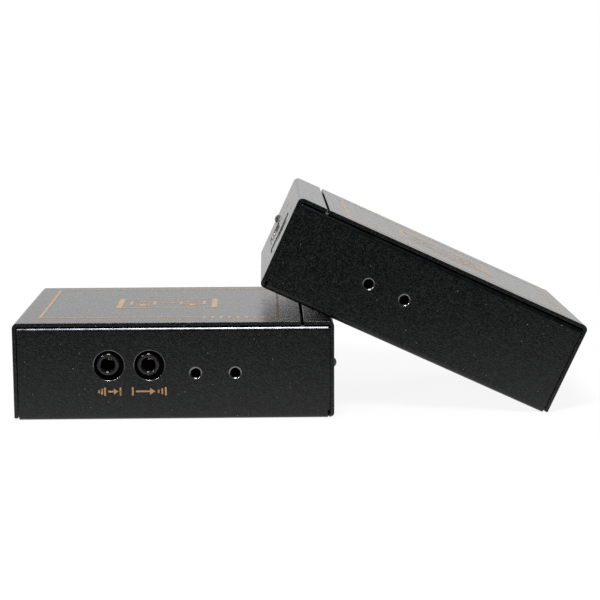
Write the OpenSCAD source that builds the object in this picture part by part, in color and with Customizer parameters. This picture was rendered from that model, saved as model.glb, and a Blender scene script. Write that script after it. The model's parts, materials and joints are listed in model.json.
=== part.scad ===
// A pair of small sheet metal boxes that carry a picture over a network cable.
// The sender lies flat. The receiver is the same box, turned round and leaning on the sender.
// In each box X runs from the network end to the socket end, Y from the jack side to the other
// long side, and Z up from the underside.

/* [Case] */
// Length of one box
body_l = 85; // [72:0.5:110]
// Depth of one box, from long side to long side
body_d = 62; // [52:0.5:80]
// Height of one box
body_h = 26.2; // [22:0.1:34]
// Thickness of the sheet metal
sheet_t = 1; // [0.8:0.05:1.2]
// Inner radius of every bend
bend_in_r = 0.4; // [0.3:0.05:0.6]
// Width of the strip that folds over the top at the socket end
strip_w = 8; // [6:0.1:12]
// Gap between that strip and the cover
seam_gap = 0.8; // [0.4:0.05:1.2]
// Height of the cover's lower edge above the underside
foot_gap = 0.6; // [0.4:0.05:0.9]
// Gap between the cover's end panel and the chassis
panel_gap = 0.2; // [0.1:0.05:0.3]
// Width of the shelf that each long side folds inwards under the cover
shelf_w = 6; // [4:0.1:8]

/* [Lean] */
// Angle at which the receiver leans
lean_deg = 24.7; // [18:0.1:30]
// How far the receiver stands behind the sender's front face
lean_shift = 4; // [0:0.1:10]
// Air left between the receiver and the sender's top edge
rest_gap = 0.2; // [0.1:0.05:0.3]

/* [Tapped holes] */
// Distance from the second jack to the nearer tapped hole in each long side
hole_from_jack = 12.5; // [11:0.1:13]
// Distance between the two tapped holes
hole_pitch = 10.5; // [9:0.1:12]
// Height of the tapped holes above the board
hole_rise = 4.5; // [4:0.1:6]
// Radius of a tapped hole
thread_r = 1.25; // [1:0.05:1.4]
// Radius of the rounded mouth of a tapped hole
mouth_r = 0.5; // [0.3:0.05:0.6]
// Length of the collar drawn inwards round a tapped hole
collar_h = 1.4; // [1:0.1:2]
// Wall of that collar
collar_wall = 0.9; // [0.6:0.05:1.2]

/* [Cover screws] */
// Radius of a countersunk head
sunk_r = 2.75; // [2.4:0.05:3]
// Length of a cover screw
cover_screw_l = 7; // [5:0.1:9]
// Distance from the long side to a cover screw
lug_inset = 8.5; // [8:0.1:10]
// Width of the lug that takes a cover screw
lug_w = 9; // [7:0.1:10]
// Height of the cover screws above the board
cover_screw_rise = 5.1; // [4.6:0.1:5.6]
// Height of a lug above its screw
lug_over = 3.9; // [3:0.1:4.5]
// Slack round a screw in its thread and under its head
screw_gap = 0.05; // [0.02:0.01:0.08]

/* [Circuit board] */
// Length of the standoffs as a share of the height that board and network socket leave free
standoff_share = 0.587; // [0.5:0.001:0.65]
// Radius of a standoff
standoff_r = 2.5; // [2.2:0.05:3]
// Thickness of the board
board_t = 1.6; // [1.2:0.1:2]
// Gap round the board
board_gap = 1; // [0.6:0.1:1.4]
// Distance from the board's long edges and network end to a standoff
standoff_inset = 5; // [4:0.1:5.5]
// Gap between a board screw's head and what stands beside it
head_gap = 0.75; // [0.5:0.05:1.5]
// Radius of a board screw's head
board_head_r = 2.75; // [2.4:0.05:2.9]
// Height of a board screw's head
board_head_h = 2; // [1.6:0.1:2.4]
// Thread left free under a board screw
screw_end_gap = 1.2; // [0.5:0.1:1.5]

/* [Infrared jacks] */
// Place of the first jack, as a share of the length from the network end
jack_share = 0.2945; // [0.28:0.0005:0.31]
// Distance between the jacks
jack_pitch = 10.7; // [10:0.1:11.4]
// Height of a jack's axis above the board
jack_rise = 6.9; // [6:0.1:7]
// Gap between the two jacks' bodies
jack_gap = 1.5; // [1.3:0.1:2.5]
// Depth of a jack's body
jack_l = 12; // [11:0.1:14]
// Height of a jack's body above its axis
jack_top = 4.3; // [4:0.1:5.5]
// Radius of a jack's barrel
barrel_r = 3; // [2.8:0.05:3.2]
// Radius of the plug's bore
plug_r = 1.8; // [1.75:0.01:1.85]
// Gap round the barrel in its hole
barrel_gap = 1; // [0.5:0.05:1.1]
// How far the barrel's face lies behind the panel's face
barrel_sink = 0.3; // [0.1:0.05:0.5]
// How far a jack sits off the middle of its hole, towards the network end
jack_slip = 0.3; // [0:0.05:0.3]
// How far a jack sits above the middle of its hole
jack_lift = 0.2; // [0:0.05:0.2]

/* [Picture socket] */
// Width of the picture socket's shell
video_w = 15.2; // [14.8:0.1:15.6]
// Height of that shell
video_h = 5.9; // [5.7:0.1:6.2]
// Depth of that shell
video_l = 11.5; // [10.5:0.1:12.5]
// Thickness of the shell's metal
shell_t = 0.35; // [0.3:0.01:0.4]
// Place of the picture socket's middle, as a share of the depth from the jack side
video_share = 0.411; // [0.4:0.001:0.42]

/* [Power socket] */
// Width of the power socket
power_w = 9; // [8.8:0.1:9.4]
// Depth of the power socket
power_l = 14; // [13:0.1:14.5]
// Radius of the power socket's bore
power_r = 3.15; // [3:0.05:3.2]
// Radius of the power socket's centre pin
power_pin_r = 1; // [0.8:0.05:1.25]
// Room for the leaf under that bore
spring_room = 3.34; // [3.1:0.02:3.6]
// Wall over that bore
power_roof = 1.36; // [1:0.02:1.6]
// Place of the power socket's middle, as a share of the depth from the jack side
power_share = 0.742; // [0.735:0.001:0.75]

/* [Network socket] */
// Width of the network socket
net_w = 16; // [15.6:0.1:16.8]
// Wall over the network socket's contacts
net_roof = 1.1; // [0.8:0.1:1.5]
// Depth of the network socket
net_l = 18; // [17:0.1:19]
// Width of the opening for the plug
port_w = 11.9; // [11.7:0.1:12.1]
// Height of the opening for the plug
port_h = 6.8; // [6.6:0.1:7]
// Depth of the opening for the plug
port_l = 13; // [12.5:0.1:13.5]
// Height of that opening above the board
port_rise = 4.2; // [3.8:0.1:4.6]

/* [Status lamp] */
// Radius of the lamp
lamp_r = 1.5; // [1.2:0.05:1.6]
// How far the lamp stands out of the panel
lamp_out = 1; // [0.6:0.05:1.6]
// Place of the lamp, as a share of the depth from the jack side
lamp_share = 0.145; // [0.14:0.001:0.16]
// Height of the lamp above the board
lamp_rise = 5.4; // [4.5:0.1:6.5]

/* [Hidden] */

$fn = 48;
// Overrun of every cut
over = 0.5;

// Colours
coat = [0.09, 0.09, 0.1];
zinc = [0.72, 0.72, 0.7];
steel = [0.8, 0.8, 0.82];
copper = [0.8, 0.55, 0.42];
gold = [0.85, 0.68, 0.3];
plastic = [0.06, 0.06, 0.065];
laminate = [0.05, 0.28, 0.14];
lens = [0.75, 0.8, 0.85];

// Case
bend_out_r = bend_in_r + sheet_t;
corner_r = bend_out_r + bend_in_r;
side_x0 = sheet_t + panel_gap;
side_x1 = body_l - bend_out_r;
// Air between the end of a long side and the socket end
side_gap = 0.1;
side_end = body_l - sheet_t - side_gap;
shelf_z = body_h - sheet_t;
// Air between a shelf and what lies on it
shelf_gap = 0.05;
// The base ends here, just inside the bend of each long side
base_y0 = bend_out_r + sheet_t;
cover_x1 = body_l - strip_w - seam_gap;
// Radius of the relief hole where the socket end meets each long side
relief_r = 0.4;
// Slits beside the lugs, which let them be folded up
slit_w = 0.5;
// Tongues of the cover that slip under the strip
tongue_w = 12;
tongue_in = 4;
tongue_reach = 4;
tongue_gap = 1;
tongue_y0 = shelf_w + tongue_gap;
// Gap round a socket in its cut-out
cut_gap = 0.25;
// How far a socket's front lies behind the panel's face
face_sink = 0.2;

// Radius of the collar drawn inwards round a tapped hole
collar_r = thread_r + collar_wall;

// Circuit board
board_x0 = side_x0 + sheet_t + board_gap;
board_x1 = body_l - sheet_t - board_gap;
board_y0 = sheet_t + board_gap;
board_y1 = body_d - board_y0;
comb_room = 1.3;
net_h = port_rise + port_h + comb_room + net_roof;
standoff_h = standoff_share * (body_h - 2 * sheet_t - board_t - net_h);
board_top = sheet_t + standoff_h + board_t;
// Gap round a board screw in its hole
board_hole_gap = 0.35;
board_hole_r = thread_r + board_hole_gap;
// Solder terminals
terminal_l = 0.6;
terminal_w = 1.6;
terminal_t = 0.3;
power_x1 = body_l - face_sink;
power_x0 = power_x1 - power_l;
standoff_x1 = power_x0 - terminal_t - head_gap - board_head_r;
standoffs = [for (x = [board_x0 + standoff_inset, standoff_x1],
    y = [board_y0 + standoff_inset, board_y1 - standoff_inset]) [x, y]];
// Floor left at the bottom of a standoff's thread
standoff_floor = 0.8;
board_screw_l = board_t + standoff_h - standoff_floor - screw_end_gap;
cover_screw_z = board_top + cover_screw_rise;
// Cross recess of a screw
recess_w = 0.7;
recess_share = 0.62;
recess_depth_share = 0.55;

// Infrared jacks and tapped holes
jack_x = jack_share * body_l;
jack_w = jack_pitch - jack_gap;
jack_z = board_top + jack_rise;
hole_x = jack_x + jack_pitch + hole_from_jack;
hole_z = board_top + hole_rise;
jack_back_gap = 0.33;
jack_y = sheet_t + jack_back_gap;
jack_end = jack_y + jack_l;
// Wall behind the plug's bore
jack_wall = 1.2;
plug_chamfer = 0.3;
// Spring leaf of a jack: where it is held, where it presses on the plug, and its free tip,
// measured from the jack's axis
leaf_t = 0.25;
leaf_w = 1.5;
leaf_x = 0.45;
leaf_gap = 0.15;
leaf_root_y = jack_end - jack_wall - leaf_gap;
leaf_root_rise = 0.88;
leaf_root_z = plug_r + leaf_root_rise;
leaf_press_in = 2.2;
leaf_press_share = 0.42;
leaf_press_y = jack_y + leaf_press_in;
leaf_press_z = leaf_press_share * plug_r;
leaf_tip_in = 1.2;
leaf_tip_share = 0.95;
leaf_tip_y = jack_y + leaf_tip_in;
leaf_tip_z = leaf_tip_share * plug_r;
// Top of the slot that the leaf lies in, high enough for the leaf to make way for a plug
slot_top = leaf_root_z + leaf_t / 2 + 3 * leaf_gap;
// Chamber behind the barrel, wider than the plug, where the leaf works
chamber_y = leaf_tip_y - 2 * leaf_gap;
chamber_r = plug_r + 2 * leaf_t;
terminal_y_shares = [0.25, 0.75];

// Picture socket
video_x1 = body_l - face_sink;
video_x0 = video_x1 - video_l;
video_y = video_share * body_d;
video_chamfer_share = 0.28;
// How many times taller than wide a slanted corner is
video_slant = 1.4;
insert_gap = 0.05;
insert_l = 3.2;
tongue_plate_w = 11.2;
tongue_plate_t = 1.4;
tongue_plate_sink = 0.8;
// The tongue lies in the upper part of the socket
tongue_plate_share = 0.56;
tongue_plate_z = board_top + tongue_plate_share * video_h;
contact_pitch = 1;
contact_w = 0.45;
contact_t = 0.1;
contact_rows = [10, 9];
tail_l = 0.9;

// Power socket
power_cy = power_share * body_d;
power_rise = power_r + spring_room;
power_h = power_rise + power_r + power_roof;
power_cz = board_top + power_rise;
power_bore_l = 9.5;
power_pin_sink = 1;
pin_shank_r = 0.8 * power_pin_r;
power_chamfer = 0.4;
spring_w = 2.6;
spring_t = 0.3;
spring_root_x = power_x1 - power_bore_l - spring_t;
spring_root_z = power_cz - power_r - 5 * spring_t;
spring_press_in = 4;
spring_press_x = power_x1 - spring_press_in;
spring_press_z = power_cz - power_r + spring_t;
spring_tip_in = 2.6;
spring_tip_x = power_x1 - spring_tip_in;
spring_tip_z = power_cz - power_r - 2 * spring_t;

// Network socket
net_x0 = face_sink;
net_x1 = net_x0 + net_l;
net_cy = body_d / 2;
shield_t = 0.3;
port_z = board_top + port_rise;
latch_w = 6.3;
latch_h = 1.5;
catch_w = 3.8;
catch_h = 1.5;
comb_count = 8;
comb_pitch = 1.02;
comb_wire = 0.4;
comb_front = 2;
comb_back = 2.5;
comb_l = port_l - comb_back;
comb_drop = 2.6;
comb_gap = 0.2;
comb_root_x = net_x0 + comb_front + comb_wire;
comb_root_z = port_z + port_h + comb_room - comb_gap - comb_wire / 2;

// Status lamp
lamp_y = lamp_share * body_d;
lamp_z = board_top + lamp_rise;
lamp_tip = body_l + lamp_out;
lamp_l = 5.2;
lamp_gap = 0.1;
// Collar at the lamp's foot
foot_grow = 0.4;
foot_r = lamp_r + foot_grow;
foot_t = 1;
lead_t = 0.5;
lead_pitch = 2.54;
lead_back = 1;

// Parts on the board: some in the middle of the room left between others, some a gap behind one,
// and the rest as shares of the board's length and depth
transformer = [15, 12, 6];
transformer_pitch = 1.5;
transformer_gap = 2;
transformer_share = 0.5;
transformer_x = net_x1 + transformer_gap + transformer[0] / 2;
chip_w = 14;
chip_h = 1.4;
chip_x = (transformer_x + transformer[0] / 2 + video_x0 - tail_l) / 2;
chip_share = 0.52;
pin_count = 12;
pin_pitch = 1;
pin_w = 0.4;
pin_l = 1;
pin_t = 0.2;
sink_w = 15;
sink_base = 1.2;
sink_h = 6;
fin_count = 6;
fin_t = 0.9;
can_r = 3.15;
can_h = 8;
can_base = 0.8;
can_shares = [0.45, 0.65, 0.85];
can_y_share = 0.82;
choke_gap = 1;
choke_w = 7.6;
choke_x = standoff_x1 - board_head_r - choke_gap - choke_w / 2;
choke_y = power_cy + (power_w - choke_w) / 2;
choke_h = 4.4;
choke_base = 0.9;
crystal_l = 11;
crystal_w = 4.6;
crystal_h = 3.4;
crystal_base = 0.5;
crystal_shares = [0.6, 0.27];

// Place of the receiver: its lower corner at the socket end, in the sender's frame
lean_s = sin(lean_deg);
lean_c = cos(lean_deg);
lean_z = max(body_l * lean_s - foot_gap * lean_c, (body_l - side_x0) * lean_s);
lean_x = body_l - bend_out_r
    + (lean_c * (body_h - bend_out_r - lean_z) + bend_out_r + rest_gap) / lean_s;
// Farthest reach of the receiver's upper corner at its network end
reach_x = lean_x + (body_l - bend_out_r) * lean_c + (body_h - bend_out_r) * lean_s + bend_out_r;
middle = [reach_x / 2, (body_d + lean_shift) / 2, 0];

function board_y(share) = board_y0 + share * (board_y1 - board_y0);

// A box between two corners
module span(low, high) {
    translate(low) cube(high - low);
}

// A flat outline in Y and Z, drawn out along X
module along_x(x0, x1) {
    translate([x0, 0, 0]) rotate([90, 0, 90]) linear_extrude(x1 - x0) children();
}

// A flat outline in X and Z, drawn out along Y
module along_y(y0, y1) {
    translate([0, y1, 0]) rotate([90, 0, 0]) linear_extrude(y1 - y0) children();
}

// Round bars along X and along Y
module rod_x(x0, x1, r) {
    translate([x0, 0, 0]) rotate([0, 90, 0]) cylinder(h = x1 - x0, r = r);
}

module rod_y(y0, y1, r) {
    translate([0, y0, 0]) rotate([-90, 0, 0]) cylinder(h = y1 - y0, r = r);
}

// A strip of metal with thickness t through the points of a list, in a flat outline
module strip(points, t) {
    for (i = [0 : len(points) - 2]) {
        run = points[i + 1] - points[i];
        translate(points[i]) rotate(atan2(run[1], run[0])) translate([0, -t / 2]) square([norm(run), t]);
    }
    for (p = points) translate(p) circle(t / 2);
}

// One quarter of a bend, end on, with its centre at the origin
module bend_end(start) {
    intersection() {
        difference() {
            circle(bend_out_r);
            circle(bend_in_r);
        }
        rotate(start) square(bend_out_r);
    }
}

// What is on the jack side, and again on the other long side
module both_sides() {
    children();
    translate([0, body_d, 0]) mirror([0, 1, 0]) children();
}

// One long side, its shelf, and its bend into the base, end on
module folded_side() {
    top = shelf_z - shelf_gap;
    translate([bend_out_r, 0]) square([base_y0 - bend_out_r, sheet_t]);
    translate([bend_out_r, bend_out_r]) bend_end(180);
    translate([0, bend_out_r]) square([sheet_t, top - 2 * bend_out_r]);
    translate([bend_out_r, top - bend_out_r]) bend_end(90);
    translate([bend_out_r, top - sheet_t]) square([shelf_w - bend_out_r, sheet_t]);
}

// The socket end and the strip that it folds over the top, seen from the jack side
module folded_end() {
    translate([side_x1, bend_out_r]) bend_end(270);
    translate([body_l - sheet_t, bend_out_r]) square([sheet_t, body_h - 2 * bend_out_r]);
    translate([side_x1, body_h - bend_out_r]) bend_end(0);
    translate([body_l - strip_w, shelf_z]) square([strip_w - bend_out_r, sheet_t]);
}

// The socket end's outline with its two lower corners rounded
module end_outline() {
    translate([0, corner_r]) square([body_d, body_h - corner_r]);
    translate([corner_r, 0]) square([body_d - 2 * corner_r, corner_r]);
    for (y = [corner_r, body_d - corner_r]) translate([y, corner_r]) circle(corner_r);
}

// A lug for a cover screw, folded up from the bottom at the network end, seen from the jack side
module lug_profile() {
    translate([side_x0 + bend_out_r, bend_out_r]) bend_end(180);
    translate([side_x0, bend_out_r]) square([sheet_t, cover_screw_z + lug_over - bend_out_r]);
    translate([side_x0 + bend_out_r, 0]) square(sheet_t);
}

// The cone that a countersunk head leaves behind the panel's face
module sunk_cone(gap) {
    translate([-over, 0, 0]) rotate([0, 90, 0])
        cylinder(h = over + sunk_r + gap - thread_r, r1 = sunk_r + gap + over, r2 = thread_r);
}

// A tapped hole through a panel and its collar, from the panel's face inwards along Y,
// with the rounded mouth that drawing the collar leaves
module tapped_hole() {
    rod_y(-over, sheet_t + collar_h + over, thread_r);
    rotate([-90, 0, 0]) rotate_extrude() translate([thread_r, 0]) difference() {
        translate([-thread_r, -over]) square([thread_r + mouth_r, mouth_r + over]);
        translate([mouth_r, mouth_r]) circle(mouth_r);
    }
}

// The bottom of the case, with the lugs that are folded up from it. The case is one folded sheet:
// it is drawn as base and walls, which meet inside the bends.
module base() {
    lug_y0 = lug_inset - lug_w / 2;
    lug_y1 = lug_inset + lug_w / 2;
    lug_x1 = side_x0 + sheet_t;
    color(coat) difference() {
        union() {
            difference() {
                span([side_x0, base_y0, 0], [side_x1, body_d - base_y0, sheet_t]);
                both_sides() span([side_x0 - over, lug_y0 - slit_w, -over],
                    [side_x0 + bend_out_r, lug_y1 + slit_w, bend_out_r]);
            }
            both_sides() {
                along_y(lug_y0, lug_y1) lug_profile();
                translate([0, lug_inset, cover_screw_z])
                    rod_x(lug_x1 - sheet_t / 2, lug_x1 + collar_h, collar_r);
            }
        }
        both_sides() translate([0, lug_inset, cover_screw_z]) {
            rod_x(side_x0 - over, lug_x1 + collar_h + over, thread_r);
            sunk_cone(screw_gap);
        }
    }
}

// Both long sides, and the socket end with its strip
module walls() {
    color(coat) difference() {
        union() {
            both_sides() {
                difference() {
                    along_x(side_x0, side_end) folded_side();
                    span([side_x1 - panel_gap, -over, -over],
                        [side_end + over, base_y0 + over, bend_out_r + relief_r]);
                    span([side_x1, -over, body_h - bend_out_r - relief_r],
                        [side_end + over, shelf_w + over, body_h]);
                }
                for (x = [hole_x, hole_x + hole_pitch])
                    translate([x, 0, hole_z]) rod_y(sheet_t / 2, sheet_t + collar_h, collar_r);
            }
            intersection() {
                along_y(0, body_d) folded_end();
                along_x(body_l - strip_w, body_l) end_outline();
            }
        }
        both_sides() {
            for (x = [hole_x, hole_x + hole_pitch]) translate([x, 0, hole_z]) tapped_hole();
            translate([side_x1, 0, bend_out_r + relief_r]) rod_y(-over, sheet_t + over, relief_r);
        }
        for (x = [jack_x, jack_x + jack_pitch])
            translate([x + jack_slip, 0, jack_z - jack_lift])
                rod_y(-over, sheet_t + over, barrel_r + barrel_gap);
        span([body_l - sheet_t - over, power_cy - power_w / 2 - cut_gap, board_top - cut_gap],
            [body_l + over, power_cy + power_w / 2 + cut_gap, board_top + power_h + cut_gap]);
        along_x(body_l - sheet_t - over, body_l + over) video_outline(cut_gap);
        translate([0, lamp_y, lamp_z]) rod_x(body_l - sheet_t - over, body_l + over, lamp_r + lamp_gap);
    }
}

module cover() {
    color(coat) difference() {
        union() {
            along_y(0, body_d) {
                translate([0, foot_gap]) square([sheet_t, body_h - bend_out_r - foot_gap]);
                translate([bend_out_r, body_h - bend_out_r]) bend_end(90);
                translate([bend_out_r, shelf_z]) square([cover_x1 - bend_out_r, sheet_t]);
            }
            both_sides() translate([cover_x1 - tongue_in, tongue_y0, shelf_z - sheet_t])
                cube([tongue_in + seam_gap + tongue_reach, tongue_w, sheet_t]);
        }
        span([-over, net_cy - net_w / 2 - cut_gap, board_top - cut_gap],
            [sheet_t + over, net_cy + net_w / 2 + cut_gap, board_top + net_h + cut_gap]);
        both_sides() translate([0, lug_inset, cover_screw_z]) sunk_cone(screw_gap);
    }
}

// A cross recess, cut into a head whose face is at the origin and looks towards -X
module cross_recess(head_r) {
    reach = 2 * recess_share * head_r;
    deep = recess_depth_share * (sunk_r - thread_r);
    for (turn = [0, 90]) rotate([turn, 0, 0])
        translate([-over, -recess_w / 2, -reach / 2]) cube([over + deep, recess_w, reach]);
}

module cover_screws() {
    sunk_h = sunk_r - thread_r;
    shank_r = thread_r - screw_gap;
    color(steel) both_sides() translate([0, lug_inset, cover_screw_z]) difference() {
        union() {
            rotate([0, 90, 0]) cylinder(h = sunk_r - shank_r, r1 = sunk_r, r2 = shank_r);
            rod_x(sunk_h, cover_screw_l, shank_r);
        }
        cross_recess(sunk_r);
    }
}

module circuit_board() {
    color(laminate) difference() {
        span([board_x0, board_y0, board_top - board_t], [board_x1, board_y1, board_top]);
        for (p = standoffs) translate([p[0], p[1], board_top - board_t - over])
            cylinder(h = board_t + 2 * over, r = board_hole_r);
    }
}

module board_standoffs() {
    color(steel) for (p = standoffs) translate([p[0], p[1], sheet_t]) difference() {
        cylinder(h = standoff_h, r = standoff_r);
        translate([0, 0, standoff_floor]) cylinder(h = standoff_h, r = thread_r);
    }
}

module board_screws() {
    color(steel) for (p = standoffs) translate([p[0], p[1], board_top]) difference() {
        union() {
            cylinder(h = board_head_h, r = board_head_r);
            translate([0, 0, -board_screw_l]) cylinder(h = board_screw_l, r = thread_r - screw_gap);
        }
        translate([0, 0, board_head_h]) rotate([0, 90, 0]) cross_recess(board_head_r);
    }
}

// The picture socket's outline, end on, grown by a gap all round: a wide top and slanted lower corners
module video_outline(grow) {
    half = video_w / 2 + grow;
    low = board_top - grow;
    high = board_top + video_h + grow;
    slant = video_chamfer_share * video_h;
    translate([video_y, 0]) polygon([[-half, high], [half, high], [half, low + video_slant * slant],
        [half - slant, low], [slant - half, low], [-half, low + video_slant * slant]]);
}

module picture_socket_shell() {
    color(steel) difference() {
        along_x(video_x0, video_x1) video_outline(0);
        along_x(video_x0 - over, video_x1 + over) video_outline(-shell_t);
    }
}

module picture_socket_insert() {
    color(plastic) {
        along_x(video_x0, video_x0 + insert_l) video_outline(-shell_t - insert_gap);
        translate([0, video_y, tongue_plate_z])
            span([video_x0 + insert_l, -tongue_plate_w / 2, -tongue_plate_t / 2],
                [video_x1 - tongue_plate_sink, tongue_plate_w / 2, tongue_plate_t / 2]);
    }
}

module picture_socket_contacts() {
    strip_x0 = video_x0 + insert_l;
    strip_x1 = video_x1 - 2 * tongue_plate_sink;
    color(gold) for (row = [0, 1], i = [0 : contact_rows[row] - 1]) {
        y = video_y + (i - (contact_rows[row] - 1) / 2) * contact_pitch;
        z = tongue_plate_z + (row == 0 ? tongue_plate_t / 2 : -tongue_plate_t / 2 - contact_t);
        translate([strip_x0, y - contact_w / 2, z]) cube([strip_x1 - strip_x0, contact_w, contact_t]);
        translate([video_x0 - tail_l, y - contact_w / 2, board_top]) cube([tail_l, contact_w, contact_t]);
    }
}

// The leaf of the power socket, seen from the jack side
module spring_outline() {
    strip([[spring_root_x, spring_root_z], [spring_press_x, spring_press_z], [spring_tip_x, spring_tip_z]],
        spring_t);
}

module power_socket_body() {
    floor_z = board_top + 2 * spring_t;
    color(plastic) difference() {
        span([power_x0, power_cy - power_w / 2, board_top],
            [power_x1, power_cy + power_w / 2, board_top + power_h]);
        translate([0, power_cy, power_cz]) {
            rod_x(power_x1 - power_bore_l, power_x1 + over, power_r);
            rod_x(power_x0 - over, power_x1, pin_shank_r + screw_gap);
            translate([power_x1 - power_chamfer, 0, 0]) rotate([0, 90, 0])
                cylinder(h = power_chamfer + over, r1 = power_r, r2 = power_r + power_chamfer + over);
        }
        span([spring_root_x - spring_t, power_cy - spring_w / 2 - leaf_gap, floor_z],
            [spring_tip_x + 2 * spring_t, power_cy + spring_w / 2 + leaf_gap, power_cz]);
    }
}

module power_socket_pin() {
    color(steel) translate([0, power_cy, power_cz]) {
        rod_x(power_x0, power_x1 - power_bore_l + over, pin_shank_r);
        rod_x(power_x1 - power_bore_l, power_x1 - power_pin_sink - power_pin_r, power_pin_r);
        translate([power_x1 - power_pin_sink - power_pin_r, 0, 0]) sphere(power_pin_r);
        translate([power_x0 - terminal_t, -terminal_w / 2, board_top - power_cz])
            cube([terminal_t, terminal_w, power_cz - board_top + terminal_w / 2]);
    }
}

module power_socket_leaf() {
    color(copper) along_y(power_cy - spring_w / 2, power_cy + spring_w / 2) spring_outline();
}

module network_socket_shield() {
    color(zinc) difference() {
        span([net_x0, net_cy - net_w / 2, board_top], [net_x1, net_cy + net_w / 2, board_top + net_h]);
        span([net_x0 - over, net_cy - net_w / 2 + shield_t, board_top - over],
            [net_x1 - shield_t, net_cy + net_w / 2 - shield_t, board_top + net_h - shield_t]);
    }
}

module network_socket_body() {
    wall = shield_t + insert_gap;
    room_w = comb_count * comb_pitch + comb_wire;
    port_x = net_x0 - over;
    color(plastic) difference() {
        span([net_x0, net_cy - net_w / 2 + wall, board_top],
            [net_x1 - wall, net_cy + net_w / 2 - wall, board_top + net_h - wall]);
        span([port_x, net_cy - port_w / 2, port_z],
            [net_x0 + port_l, net_cy + port_w / 2, port_z + port_h]);
        span([port_x, net_cy - latch_w / 2, port_z - latch_h],
            [net_x0 + port_l, net_cy + latch_w / 2, port_z + over]);
        span([port_x, net_cy - catch_w / 2, port_z - latch_h - catch_h],
            [net_x0 + port_l, net_cy + catch_w / 2, port_z + over]);
        span([net_x0 + comb_front - comb_wire, net_cy - room_w / 2, port_z + port_h - over],
            [net_x0 + port_l, net_cy + room_w / 2, port_z + port_h + comb_room]);
    }
}

// Eight spring wires that slope down and back from the roof of the opening
module network_socket_contacts() {
    color(gold) for (i = [0 : comb_count - 1]) {
        y = net_cy + (i - (comb_count - 1) / 2) * comb_pitch;
        along_y(y - comb_wire / 2, y + comb_wire / 2)
            strip([[comb_root_x, comb_root_z], [net_x0 + comb_l, comb_root_z - comb_drop]], comb_wire);
    }
}

// One infrared jack, with the axis of its bore on Y and the panel's face at Y zero
module jack_body() {
    room = leaf_w / 2 + leaf_gap;
    color(plastic) difference() {
        union() {
            span([-jack_w / 2, jack_y, -jack_rise], [jack_w / 2, jack_end, jack_top]);
            rod_y(barrel_sink, jack_y + over, barrel_r);
        }
        rod_y(barrel_sink - over, chamber_y + over, plug_r);
        rod_y(chamber_y, jack_end - jack_wall, chamber_r);
        translate([0, barrel_sink, 0]) rotate([-90, 0, 0])
            translate([0, 0, -over])
                cylinder(h = over + plug_chamfer, r1 = plug_r + plug_chamfer + over, r2 = plug_r);
        span([leaf_x - room, chamber_y, 0],
            [leaf_x + room, leaf_root_y + leaf_t / 2 + leaf_gap, slot_top]);
    }
}

module jack_leaf() {
    color(copper) along_x(leaf_x - leaf_w / 2, leaf_x + leaf_w / 2)
        strip([[leaf_root_y, leaf_root_z], [leaf_press_y, leaf_press_z], [leaf_tip_y, leaf_tip_z]],
            leaf_t);
}

module jack_terminals() {
    color(steel) for (side = [-1, 1], share = terminal_y_shares)
        translate([side * (jack_w / 2 + terminal_l / 2) - terminal_l / 2,
            jack_y + share * jack_l - terminal_w / 2, -jack_rise])
                cube([terminal_l, terminal_w, terminal_t]);
}

module ir_in() {
    translate([jack_x, 0, jack_z]) children();
}

module ir_out() {
    translate([jack_x + jack_pitch, 0, jack_z]) children();
}

module status_lamp() {
    lamp_x0 = lamp_tip - lamp_l;
    color(lens) translate([0, lamp_y, lamp_z]) {
        rod_x(lamp_x0, lamp_tip - lamp_r, lamp_r);
        translate([lamp_tip - lamp_r, 0, 0]) sphere(lamp_r);
        rod_x(lamp_x0, lamp_x0 + foot_t, foot_r);
    }
}

module lamp_leads() {
    lead_x1 = lamp_tip - lamp_l;
    lead_x0 = lead_x1 - lead_back - lead_t;
    color(steel) for (side = [-1, 1]) translate([0, lamp_y + side * lead_pitch / 2 - lead_t / 2, 0]) {
        span([lead_x0, 0, lamp_z - lead_t / 2], [lead_x1, lead_t, lamp_z + lead_t / 2]);
        span([lead_x0, 0, board_top], [lead_x0 + lead_t, lead_t, lamp_z]);
    }
}

module main_chip() {
    color(plastic) translate([chip_x, board_y(chip_share), board_top]) {
        translate([-chip_w / 2, -chip_w / 2, 0]) cube([chip_w, chip_w, chip_h]);
        for (turn = [0 : 90 : 270], i = [0 : pin_count - 1]) rotate(turn)
            translate([chip_w / 2, (i - (pin_count - 1) / 2) * pin_pitch - pin_w / 2, 0])
                cube([pin_l, pin_w, pin_t]);
    }
}

module heat_sink() {
    color(zinc) translate([chip_x - sink_w / 2, board_y(chip_share) - sink_w / 2, board_top + chip_h]) {
        cube([sink_w, sink_w, sink_base]);
        for (i = [0 : fin_count - 1])
            translate([0, i * (sink_w - fin_t) / (fin_count - 1), 0]) cube([sink_w, fin_t, sink_h]);
    }
}

module line_transformer() {
    color(plastic) translate([transformer_x, board_y(transformer_share), board_top]) {
        translate([-transformer[0] / 2, -transformer[1] / 2, 0]) cube(transformer);
        for (side = [-1, 1], i = [0 : comb_count - 1])
            translate([(i - (comb_count - 1) / 2) * transformer_pitch - contact_w / 2,
                side * (transformer[1] + pin_l) / 2 - pin_l / 2, 0]) cube([contact_w, pin_l, pin_t]);
    }
}

module capacitors() {
    row_l = choke_x - choke_w / 2 - board_x0;
    color(zinc) translate([board_x0, board_y(can_y_share), board_top])
        for (share = can_shares) translate([share * row_l, 0, 0]) {
            translate([-can_r, -can_r, 0]) cube([2 * can_r, 2 * can_r, can_base]);
            cylinder(h = can_h, r = can_r);
        }
}

module power_choke() {
    color(plastic) translate([choke_x, choke_y, board_top]) {
        translate([-choke_w / 2, -choke_w / 2, 0]) cube([choke_w, choke_w, choke_base]);
        cylinder(h = choke_h, r = choke_w / 2);
    }
}

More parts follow.
